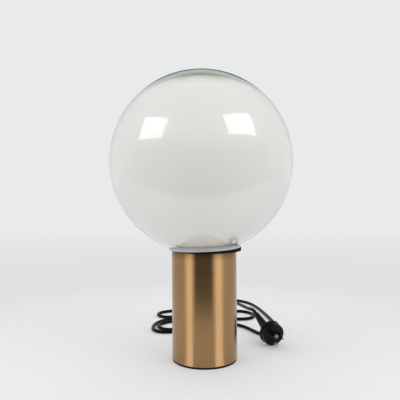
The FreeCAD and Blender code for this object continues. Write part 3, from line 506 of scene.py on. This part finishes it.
def makeGroundLip():
    # the ground ring between the mouth and the lip's edge, and the lowest stretch of the sphere on it
    edge, lip, mouth = globe["lipEdge"], globe["lip"], globe["mouth"]
    lipHeight, top = globe["lipHeight"], globe["groundHeight"]
    sphere = [arcPoints((0, globeCentre), radius, np.arcsin((start - globeCentre) / radius),
                        np.arcsin((end - globeCentre) / radius), 6)
              for radius, start, end in ((globe["radius"], lipHeight + edge, top),
                                         (globe["radius"] - globe["wall"], top, lipHeight))]
    section = np.concatenate([
        rounded([(mouth, 0, edge), (lip, 0, edge), (lip, lipHeight, edge / 2)]), *sphere,
        [(mouth, lipHeight)]])
    points = moved(turned(section, globe["columns"]), leanMatrix)
    return addPiece("groundLip", points, gridFaces(*points.shape[:2]))


def opalOutline(inset):
    # side sphere, short blend and flatter crown, all set in alike
    side = globe["radius"] - globe["wall"] - opal["gap"] - inset
    blend = opal["blend"] - inset
    crown = opal["crownRadius"] - inset
    crownCentre = globe["radius"] - globe["wall"] - opal["gap"] - opal["crownDrop"] - opal["crownRadius"]
    sideReach, crownReach = side - blend, crown - blend
    blendZ = (sideReach ** 2 - crownReach ** 2 + crownCentre ** 2) / (2 * crownCentre)
    blendR = np.sqrt(sideReach ** 2 - blendZ ** 2)
    sideAngle = np.arctan2(blendZ, blendR)
    crownAngle = np.arctan2(blendZ - crownCentre, blendR)
    foot = globe["lipHeight"] + opal["seatHeight"]
    start = np.arcsin((foot - globeCentre) / side)
    return np.concatenate([
        arcPoints((0, globeCentre), side, start, sideAngle, opal["rows"]),
        arcPoints((blendR, globeCentre + blendZ), blend, sideAngle, crownAngle, 12)[1:],
        arcPoints((0, globeCentre + crownCentre), crown, crownAngle, np.pi / 2, 28)[1:]])


def makeOpalShade():
    outside, inside = opalOutline(0), opalOutline(opal["wall"])[::-1]
    foot = rounded([(*inside[-2], 0), (*inside[-1], opal["wall"] * 0.35),
                    (*outside[0], opal["wall"] * 0.35), (*outside[1], 0)])
    outline = np.concatenate([inside[:-1], foot[1:-1], outside[1:]])
    outline[0, 0] = outline[-1, 0] = 0
    points = moved(turned(outline, globe["columns"]), leanMatrix)
    return addPiece("opalShade", points, gridFaces(*points.shape[:2], closedRows=False))


finishPiece(makeGlobeGlass(), "globe", finish["clearGlass"], "globe_glass")
finishPiece(makeGroundLip(), "globe", finish["groundGlass"], "globe_glass")
finishPiece(makeOpalShade(), "globe", finish["opalGlass"], "opal_shade")
print("globe made")


# gasket: a foam wedge that takes up the lean
gasket = dict(outer=0.0575, bore=0.0445, shift=0.0038, floor=0.1785, gap=0.0001, edge=0.0004)


def makeGasket():
    # the ring's top follows the leaning lip: z = seat + (x - seat x) tan lean
    section = rounded([(gasket["bore"], 0, gasket["edge"]), (gasket["outer"], 0, gasket["edge"]),
                       (gasket["outer"], 1, gasket["edge"]), (gasket["bore"], 1, gasket["edge"])], 4)
    top = section[:, 1] > 0.5
    points = turned(section, 160)
    points[..., 0] += gasket["shift"]
    slope = np.tan(np.radians(globe["lean"]))
    lid = globe["seat"][2] - gasket["gap"] + (points[..., 0] - globe["seat"][0]) * slope
    height = points[..., 2]
    points[..., 2] = np.where(top[:, None], lid + height - 1, gasket["floor"] + height)
    return addPiece("gasketRing", points, gridFaces(*points.shape[:2]))


finishPiece(makeGasket(), "base", finish["foam"], "gasket_ring")


# base tube
tube = dict(radius=0.0535, wall=0.0015, bottom=0.003, top=0.1785, edge=0.0004)


def makeBaseTube():
    section = rounded([(tube["radius"] - tube["wall"], tube["bottom"], tube["edge"]),
                       (tube["radius"], tube["bottom"], tube["edge"]),
                       (tube["radius"], tube["top"], tube["edge"]),
                       (tube["radius"] - tube["wall"], tube["top"], tube["edge"])], 4)
    points = turned(section, 192)
    return addPiece("baseTube", points, gridFaces(*points.shape[:2]))


finishPiece(makeBaseTube(), "base", finish["bronze"], "base_tube")
print("base and gasket made")


# lampholder and bulb
holder = dict(bottom=0.205, capTop=0.222, shellBottom=0.224, shellTop=0.262, radius=0.0195, wall=0.002,
              neck=0.010, bore=0.0051, cone=0.008, grips=36, gripDepth=0.0004, gripFoot=0.004,
              gripHead=0.008, gripEase=0.002, mouth=0.01536, columns=288)
thread = dict(pitch=0.00362, capRadius=0.01312, capDepth=0.00075, sleeveRadius=0.0132,
              sleeveDepth=0.0005, sleeveWall=0.00035, sleeveBottom=0.230, sleeveTop=0.256,
              flangeRadius=0.0164, flange=0.0006, capWall=0.0016, columns=96)
bulb = dict(capBottom=0.234, capTop=0.258, rim=0.296, neckRadius=0.0140, wall=0.0018, dome=0.030,
            skirt=0.006)


def makeHolderShell():
    # a turned shell whose outside carries upright grips: radius eased in by a rounded wave
    r, lip = holder["radius"], holder["mouth"]
    inner = holder["radius"] - holder["wall"]
    z0, z1, wall = holder["shellBottom"], holder["shellTop"], holder["wall"]
    grip = np.linspace(z0 + holder["gripFoot"], z1 - holder["gripHead"], 14)
    corners = [(inner, z0, 0), (r, z0, 0.0004), *((r, z, 0) for z in grip), (r, z1, 0.0012),
               (lip, z1, 0.0005), (lip, z1 - wall, 0.0004), (inner, z1 - wall, 0)]
    section = rounded(corners, 4)
    points = turned(section, holder["columns"])
    mask = faded(section[:, 1], grip[0], holder["gripEase"], grip[-1], holder["gripEase"])
    mask = mask * (section[:, 0] > r - 0.0001)
    angle = np.arange(holder["columns"]) * 2 * np.pi / holder["columns"]
    wave = (0.5 - 0.5 * np.cos(angle * holder["grips"])) ** 2
    factor = 1 - mask[:, None] * wave * holder["gripDepth"] / r
    points[..., :2] *= factor[..., None]
    return addPiece("holderShell", points, gridFaces(*points.shape[:2]))


def makeHolderCap():
    r, inner, wall = holder["radius"], holder["radius"] - holder["wall"], holder["wall"]
    cone = holder["bottom"] + holder["cone"]
    section = rounded([(holder["bore"], holder["bottom"], 0.0004), (holder["neck"], holder["bottom"], 0.001),
                       (r, cone, 0.004), (r, holder["capTop"], 0.0004), (inner, holder["capTop"], 0.0004),
                       (inner, cone + wall, 0.003), (holder["neck"], holder["bottom"] + wall, 0.001),
                       (holder["bore"], holder["bottom"] + wall, 0.0004)])
    points = turned(section, 128)
    return addPiece("holderCap", points, gridFaces(*points.shape[:2]))


def threadWave(height, angle, depth):
    # a rolled thread: a rounded wave that climbs one pitch a turn
    turns = height / thread["pitch"] - angle / (2 * np.pi)
    return depth * (0.5 + 0.5 * np.cos(2 * np.pi * turns))


def makeScrewSleeve():
    # a thin rolled sleeve on a flat flange, its thread faded in and out at the ends
    bottom, top, radius = thread["sleeveBottom"], thread["sleeveTop"], thread["sleeveRadius"]
    height = np.linspace(top - 0.0015, bottom + 0.002, 96)
    flange, thick = thread["flangeRadius"], thread["flange"]
    inside = np.stack([np.full_like(height, radius), height], 1)
    outside = inside[::-1] + (thread["sleeveWall"], 0)
    outline = np.concatenate([[(radius, top)], inside, [(radius, bottom)], [(flange, bottom)],
                              [(flange, bottom + thick)], [(radius + thick, bottom + thick)],
                              outside, [(radius + thread["sleeveWall"], top)]])
    points = turned(outline, thread["columns"])
    angle = np.arange(thread["columns"]) * 2 * np.pi / thread["columns"]
    z = outline[:, 1]
    fade = faded(z, bottom + 0.001, 0.003, top - 0.001, 0.003)
    fade = fade * (outline[:, 0] < radius + 0.0005)
    grow = 1 + fade[:, None] * threadWave(z[:, None], angle, thread["sleeveDepth"]) / radius
    points[..., :2] *= grow[..., None]
    return addPiece("screwSleeve", points, gridFaces(*points.shape[:2]))


def makeBulbCap():
    # a cup with a rolled thread on its outside, faded out below the housing
    bottom, top, r = bulb["capBottom"], bulb["capTop"], thread["capRadius"]
    height = np.linspace(bottom + 0.0012, top - 0.003, 110)
    outer = np.stack([np.full_like(height, r), height], 1)
    inner = r - thread["capWall"]
    outline = np.concatenate([[(0, bottom)], [(r - 0.0022, bottom)], [(r - 0.0009, bottom + 0.0004)],
                              outer, [(r, top)], [(inner, top)], [(inner, bottom + 0.0006)],
                              [(0, bottom + 0.0006)]])
    points = turned(outline, thread["columns"])
    angle = np.arange(thread["columns"]) * 2 * np.pi / thread["columns"]
    z = outline[:, 1]
    fade = faded(z, bottom + 0.001, 0.003, top - 0.004, 0.002)
    fade = fade * (outline[:, 0] > r - 0.0005)
    shrink = 1 - fade[:, None] * threadWave(z[:, None], angle, thread["capDepth"]) / r
    points[..., :2] *= shrink[..., None]
    return addPiece("bulbCap", points, gridFaces(*points.shape[:2], closedRows=False))


def makeBulbHousing():
    skirt = thread["capRadius"] - 0.0006
    rim = np.sqrt(bulb["dome"] ** 2 - (bulb["dome"] / 2) ** 2)
    wall, neck = bulb["wall"], bulb["neckRadius"]
    waist = bulb["capTop"] + (bulb["rim"] - bulb["capTop"]) / 4
    section = rounded([(skirt - wall, bulb["capTop"] - bulb["skirt"], 0),
                       (skirt, bulb["capTop"] - bulb["skirt"], 0), (skirt, bulb["capTop"], 0),
                       (neck, bulb["capTop"], 0.0006), (neck + wall, waist, 0.005),
                       (rim, bulb["rim"], 0), (rim - wall, bulb["rim"], 0),
                       (neck, waist, 0.004), (skirt - wall, bulb["capTop"], 0)])
    points = turned(section, 128)
    return addPiece("bulbHousing", points, gridFaces(*points.shape[:2]))


def makeBulbDome():
    centre = bulb["rim"] + bulb["dome"] / 2
    outside = arcPoints((0, centre), bulb["dome"], -np.pi / 6, np.pi / 2, 48)
    inner = bulb["dome"] - bulb["wall"]
    inside = arcPoints((0, centre), inner, np.pi / 2, np.arcsin((bulb["rim"] - centre) / inner), 40)
    outline = np.concatenate([outside, inside])
    points = turned(outline, 128)
    return addPiece("bulbDome", points, gridFaces(*points.shape[:2]))


finishPiece(makeHolderShell(), "base", finish["holder"], "holder_shell")
finishPiece(makeHolderCap(), "base", finish["holder"], "holder_cap")
finishPiece(makeScrewSleeve(), "base", finish["brass"], "screw_sleeve")
finishPiece(makeBulbCap(), "bulb", finish["nickel"], "bulb_cap")
finishPiece(makeBulbHousing(), "bulb", finish["bulbWhite"], "bulb_housing")
finishPiece(makeBulbDome(), "bulb", finish["bulbWhite"], "bulb_dome")
print("lampholder and bulb made")


# cord boot, plug and switch
def ribbed(length, root, tip, ribs, first, last, depth, share=0.55):
    # radius along a tapered relief: rings stand out between rounded grooves
    t = np.linspace(0, 1, 40 * ribs)
    radius = root + (tip - root) * t
    turns = (t - first) / (last - first) * ribs
    inRibs = faded(t, first, 0.02, last, 0.02)
    groove = np.clip((0.5 - np.abs(turns % 1 - 0.5) - 0.5 + share / 2) / 0.08, -1, 0)
    return t * length, radius + inRibs * depth * np.where(turns % 1 < share, 0, -1) * (groove < 0)


def makeBoot():
    # wall flange, then a tapered boot with soft ribs, open round the cord
    along, radius = ribbed(boot["length"], boot["root"], boot["tip"], boot["ribs"], 0.12, 0.8, 0.0008)
    skin = np.stack([radius, boot["flange"] + along], 1)
    outline = np.concatenate([
        rounded([(boot["bore"], 0, 0), (boot["flangeRadius"], 0, 0.0003),
                 (boot["flangeRadius"], boot["flange"], 0.0008), (boot["root"], boot["flange"], 0)]),
        skin[1:-1], rounded([(*skin[-2], 0), (*skin[-1], 0.0004),
                             (boot["bore"], boot["flange"] + boot["length"], 0)])[1:]])
    points = moved(turned(outline, 64), aimed((0, boot["wallRadius"], boot["height"]), (0, 1, 0)))
    return addPiece("cordBoot", points, gridFaces(*points.shape[:2]))


def makePlugBody():
    # turned about the blades' axis: finger rim, barrel and rear cone
    p = plug
    rimBack = -p["barrel"] - p["rimThickness"]
    back = rimBack - p["cone"]
    section = rounded([
        (0, back, 0), (p["coneTip"], back, 0.002), (p["coneRoot"], rimBack, 0.0015),
        (p["rimRadius"], rimBack, 0.0012), (p["rimRadius"], -p["barrel"], 0.0012),
        (p["faceRadius"], -p["barrel"], 0.0008), (p["faceRadius"], 0, p["edge"]),
        (p["insert"], 0, 0.0003), (p["insert"], -p["insertDepth"], 0), (0, -p["insertDepth"], 0)])
    points = turned(section, 128)
    matrix = (Matrix.Translation(p["face"]) @ Matrix.Rotation(np.radians(p["turn"]), 4, "Z")
              @ Matrix.Rotation(np.radians(90 + p["pitch"]), 4, "X"))
    points = moved(points, matrix)
    return addPiece("plugBody", points, gridFaces(*points.shape[:2], closedRows=False))


def makePlugRelief():
    along, radius = ribbed(relief["length"], relief["root"], relief["tip"], relief["ribs"],
                           0.22, 0.92, 0.0013)
    skin = np.stack([radius, along], 1)
    outline = np.concatenate([[(0, 0)], skin[:-1],
                              rounded([(*skin[-2], 0), (*skin[-1], 0.0006), (0, relief["length"], 0)])[1:]])
    points = moved(turned(outline, 64), aimed(reliefStart, reliefAxis))
    return addPiece("plugRelief", points, gridFaces(*points.shape[:2], closedRows=False))


finishPiece(makeBoot(), "base", finish["cord"], "cord_gland")
plugBody = finishPiece(makePlugBody(), "base", finish["plugBlack"], "plug_body")
plugRelief = finishPiece(makePlugRelief(), "base", finish["plugBlack"], "plug_relief")
print("boot and plug made")


# finishes of the solids that stay
nodeFinish = dict(
    foot_pad="footRubber", bottom_plate="plateSteel", ledge_rings="steel", ballast_weight="ballast",
    carrier_plate="plateSteel", tie_rods="steel", tie_nuts="steel", locating_collar="holder",
    collar_screws="steel", nipple="steel", nipple_nuts="steel", spacer_tube="steel",
    holder_core="porcelain", holder_terminals="brass", centre_contact="brass", bulb_tip="brass",
    bulb_insulator="holder", led_plate="ledBoard", opal_seat_ring="seat", gland_nut="holder",
    inner_lead="cord", cord_clamp="holder", clamp_screws="steel", wire_live="brown",
    wire_neutral="blue", wire_earth="green", earth_tag="brass", earth_screw="brass",
    switch_lower_shell="plugBlack", switch_upper_shell="plugBlack", switch_rocker="plugBlack",
    switch_terminals="brass", switch_screws="steel", plug_face="plugBlack", plug_blades="nickel",
    plug_sleeves="plugBlack")
for name, key in nodeFinish.items():
    nodes[name].data.materials.clear()
    nodes[name].data.materials.append(finish[key])
print("solids finished:", len(nodeFinish))


# studio: endless pale floor, two softboxes, a dim room in front of the table and a dark ceiling
# the far floor's glow holds a band of painted shade, darker beyond the fade and lighter again towards the
# horizon
studio = dict(reach=4.0, floorColour=(0.845, 0.852, 0.866), wallColour=(0.815, 0.822, 0.838),
              shadeBandColour=(0.745, 0.75, 0.765), fadeStart=0.28, fadeEnd=0.75, fadeLeast=0.2, shadeBandStart=1.0,
              shadeBandEnd=3.6, tableFront=-0.385, tableBow=0.235, tableSoftness=0.03, poolStart=0.0535,
              poolEnd=0.062, mirrorFront=0.030, airFront=0.72, airBack=1.02)
softboxes = [
    dict(name="leftSoftbox", centre=(-0.885, -0.464, 0.928), aim=(0, 0, 0.30), roll=5.3,
         size=(0.615, 0.443), strength=2.5),
    dict(name="rightSoftbox", centre=(0.752, -0.587, 1.018), aim=(0, 0, 0.58), roll=-5.8,
         size=(0.683, 0.481), strength=2.5)]
# what brushed metal and clear glass mirror from the room: (degrees from the front, light) at eye level,
# and the light overhead with the heights between which it takes over
metalRoom = dict(profile=[(-180, 0.62), (-120, 0.70), (-76, 0.74), (-58, 1.78), (-47, 1.78), (-32, 0.14),
                          (26, 0.14), (44, 1.78), (58, 1.78), (73, 0.88), (120, 0.72), (180, 0.62)],
                 start=0.45, end=0.75, overhead=0.12)
glassRoom = dict(profile=[(-180, 0.85), (-120, 0.80), (-90, 0.50), (-55, 0.16), (0, 0.12), (55, 0.16),
                          (90, 0.50), (120, 0.80), (180, 0.85)],
                 start=0.02, end=0.55, overhead=0.60)
# a green panel up behind the lamp, which the glass shows over the opal crown: (height, colour)
panel = dict(colours=[(0.37, (0.07, 0.11, 0.08)), (0.46, (0.07, 0.11, 0.08)), (0.52, (0.36, 0.42, 0.35)),
                      (0.62, (0.55, 0.62, 0.53)), (0.70, (0.55, 0.62, 0.53)), (0.76, (0.40, 0.46, 0.39)),
                      (0.83, (0.07, 0.11, 0.08))],
             low=(0.33, 0.37), near=(0.38, 0.46), side=(0.28, 0.16))


def ramped(tree, value, stops):
    # colours along a value from 0 to 1; stops are (position, colour)
    ramp = tree.nodes.new("ShaderNodeValToRGB")
    tree.links.new(value, ramp.inputs[0])
    elements = ramp.color_ramp.elements
    while len(elements) < len(stops):
        elements.new(0.5)
    for element, (position, colour) in zip(elements, stops):
        element.position = position
        element.color = (*colour, 1)
    return ramp.outputs[0]


def roomColour(tree, direction, profile, start, end, overhead):
    # light by the angle round from the front, giving way to the light overhead
    apart = addNode(tree, "ShaderNodeSeparateXYZ", [(0, direction)])
    front = maths(tree, "MULTIPLY", apart.outputs["Y"], -1.0)
    turn = maths(tree, "ARCTAN2", apart.outputs["X"], front)
    level = ramped(tree, mapped(tree, turn, -np.pi, np.pi, 0.0, 1.0),
                   [(angle / 360 + 0.5, (light, light, light)) for angle, light in profile])
    high = mapped(tree, apart.outputs["Z"], start, end, 0.0, 1.0)
    return mixColours(tree, high, level, (overhead, overhead, overhead))


def makeFloor():
    reach = studio["reach"]
    corners = np.array([[-reach, -reach, 0], [reach, -reach, 0], [reach, reach, 0], [-reach, reach, 0]])
    mesh = bpy.data.meshes.new("studioFloor")
    mesh.from_pydata(corners.tolist(), [], [(0, 1, 2, 3)])
    floor = bpy.data.objects.new("studioFloor", mesh)
    bpy.context.scene.collection.objects.link(floor)
    material, tree, shader = newMaterial("studioPaper", Roughness=0.9)
    shader.inputs["Base Color"].default_value = (*studio["floorColour"], 1)
    shader.inputs["Specular IOR Level"].default_value = 0.1
    place = addNode(tree, "ShaderNodeTexCoord")
    distance = addNode(tree, "ShaderNodeVectorMath", [(0, place.outputs["Object"])], operation="LENGTH")
    far = addNode(tree, "ShaderNodeMapRange", [("Value", distance.outputs["Value"])],
                  interpolation_type="SMOOTHSTEP")
    far.inputs["From Min"].default_value = studio["fadeStart"]
    far.inputs["From Max"].default_value = studio["fadeEnd"]
    far.inputs["To Min"].default_value = studio["fadeLeast"]
    # painted shade: the glow takes the darker band colour past the fade and returns to the wall's colour far
    # off, standing for the shade at the back of a table where it meets a wall
    rise = mapped(tree, distance.outputs["Value"], studio["shadeBandStart"], studio["shadeBandEnd"], 0.0, 1.0)
    sink = mapped(tree, distance.outputs["Value"], studio["fadeStart"], studio["fadeEnd"], 1.0, 0.0)
    tone = mixColours(tree, maths(tree, "MAXIMUM", rise, sink), studio["shadeBandColour"], studio["wallColour"])
    glow = addNode(tree, "ShaderNodeEmission", [("Color", tone)])
    paper = addNode(tree, "ShaderNodeMixShader", [(0, far.outputs[0]), (1, shader.outputs[0]),
                                                  (2, glow.outputs[0])])
    apart = addNode(tree, "ShaderNodeSeparateXYZ", [(0, place.outputs["Object"])])
    bow = maths(tree, "MULTIPLY", maths(tree, "POWER", maths(tree, "ABSOLUTE", apart.outputs["X"], 0.0), 2.0),
                studio["tableBow"])
    edge = maths(tree, "SUBTRACT", apart.outputs["Y"], bow)
    beyond = mapped(tree, edge, studio["tableFront"] - studio["tableSoftness"],
                    studio["tableFront"] + studio["tableSoftness"], 1.0, 0.0)
    path = addNode(tree, "ShaderNodeLightPath")
    # bright fans spread from a little in front of the tube's axis, so the strips it mirrors stay upright
    fanPlace = addNode(tree, "ShaderNodeVectorMath", [(0, place.outputs["Object"])], operation="ADD")
    fanPlace.inputs[1].default_value = (0, studio["mirrorFront"], 0)
    inMetal = roomColour(tree, fanPlace.outputs[0], **metalRoom)
    inGlass = roomColour(tree, place.outputs["Object"], **glassRoom)
    room = mixColours(tree, path.outputs["Is Singular Ray"], inMetal, inGlass)
    dim = addNode(tree, "ShaderNodeEmission", [("Color", room)])
    bright = mapped(tree, room, 0.9, 1.3, 0.0, 1.0)
    pool = maths(tree, "MULTIPLY", bright,
                 mapped(tree, distance.outputs["Value"], studio["poolStart"], studio["poolEnd"], 0.0, 1.0))
    mirrored = maths(tree, "MULTIPLY", path.outputs["Is Glossy Ray"],
                     maths(tree, "LESS_THAN", path.outputs["Diffuse Depth"], 0.5))
    inRoom = maths(tree, "MULTIPLY", maths(tree, "MAXIMUM", beyond, pool), mirrored)
    both = addNode(tree, "ShaderNodeMixShader", [(0, inRoom), (1, paper.outputs[0]), (2, dim.outputs[0])])
    tree.links.new(both.outputs[0], tree.nodes["Material Output"].inputs["Surface"])
    mesh.materials.append(material)


def makeSoftbox(name, centre, aim, roll, size, strength):
    # a glowing sheet that faces the lamp
    data = bpy.data.lights.new(name, "AREA")
    data.shape = "RECTANGLE"
    data.size, data.size_y = size
    data.energy = strength * size[0] * size[1] * np.pi
    light = bpy.data.objects.new(name, data)
    facing = (Vector(aim) - Vector(centre)).to_track_quat("-Z", "Y").to_matrix().to_4x4()
    light.matrix_world = Matrix.Translation(centre) @ facing @ Matrix.Rotation(np.radians(roll), 4, "Z")
    light.visible_camera = False
    bpy.context.scene.collection.objects.link(light)


def makeWorld():
    # even light for matt surfaces, the wall's colour for the camera, the room for gloss and glass
    world = bpy.data.worlds.new("studioAir")
    bpy.context.scene.world = world
    world.use_nodes = True
    tree = world.node_tree
    background = tree.nodes["Background"]
    place = addNode(tree, "ShaderNodeTexCoord")
    path = addNode(tree, "ShaderNodeLightPath")
    inMetal = roomColour(tree, place.outputs["Generated"], **metalRoom)
    inGlass = roomColour(tree, place.outputs["Generated"], **glassRoom)
    room = mixColours(tree, path.outputs["Is Singular Ray"], inMetal, inGlass)
    apart = addNode(tree, "ShaderNodeSeparateXYZ", [(0, place.outputs["Generated"])])
    level = mapped(tree, apart.outputs["Y"], -1.0, 1.0, studio["airFront"], studio["airBack"])
    air = addNode(tree, "ShaderNodeCombineColor", [(i, level) for i in range(3)]).outputs[0]
    colour = mixColours(tree, path.outputs["Is Glossy Ray"], air, room)
    behind = mapped(tree, apart.outputs["Y"], -0.02, 0.02, 0.0, 1.0)
    through = mixColours(tree, behind, inGlass, studio["wallColour"])
    colour = mixColours(tree, path.outputs["Is Transmission Ray"], colour, through)
    inPanel = maths(tree, "MULTIPLY", mapped(tree, apart.outputs["Z"], *panel["low"], 0.0, 1.0),
                    mapped(tree, apart.outputs["Y"], *panel["near"], 0.0, 1.0))
    side = mapped(tree, maths(tree, "ABSOLUTE", apart.outputs["X"], 0.0), *panel["side"], 0.0, 1.0)
    inPanel = maths(tree, "MULTIPLY", maths(tree, "MULTIPLY", inPanel, side), path.outputs["Is Singular Ray"])
    colour = mixColours(tree, inPanel, colour, ramped(tree, apart.outputs["Z"], panel["colours"]))
    colour = mixColours(tree, path.outputs["Is Camera Ray"], colour, studio["wallColour"])
    matt = maths(tree, "GREATER_THAN", path.outputs["Diffuse Depth"], 0.5)
    colour = mixColours(tree, matt, colour, air)
    tree.links.new(colour, background.inputs["Color"])


makeFloor()
for softbox in softboxes:
    makeSoftbox(**softbox)
makeWorld()
bpy.context.scene.view_settings.view_transform = "Standard"
print("studio lit")
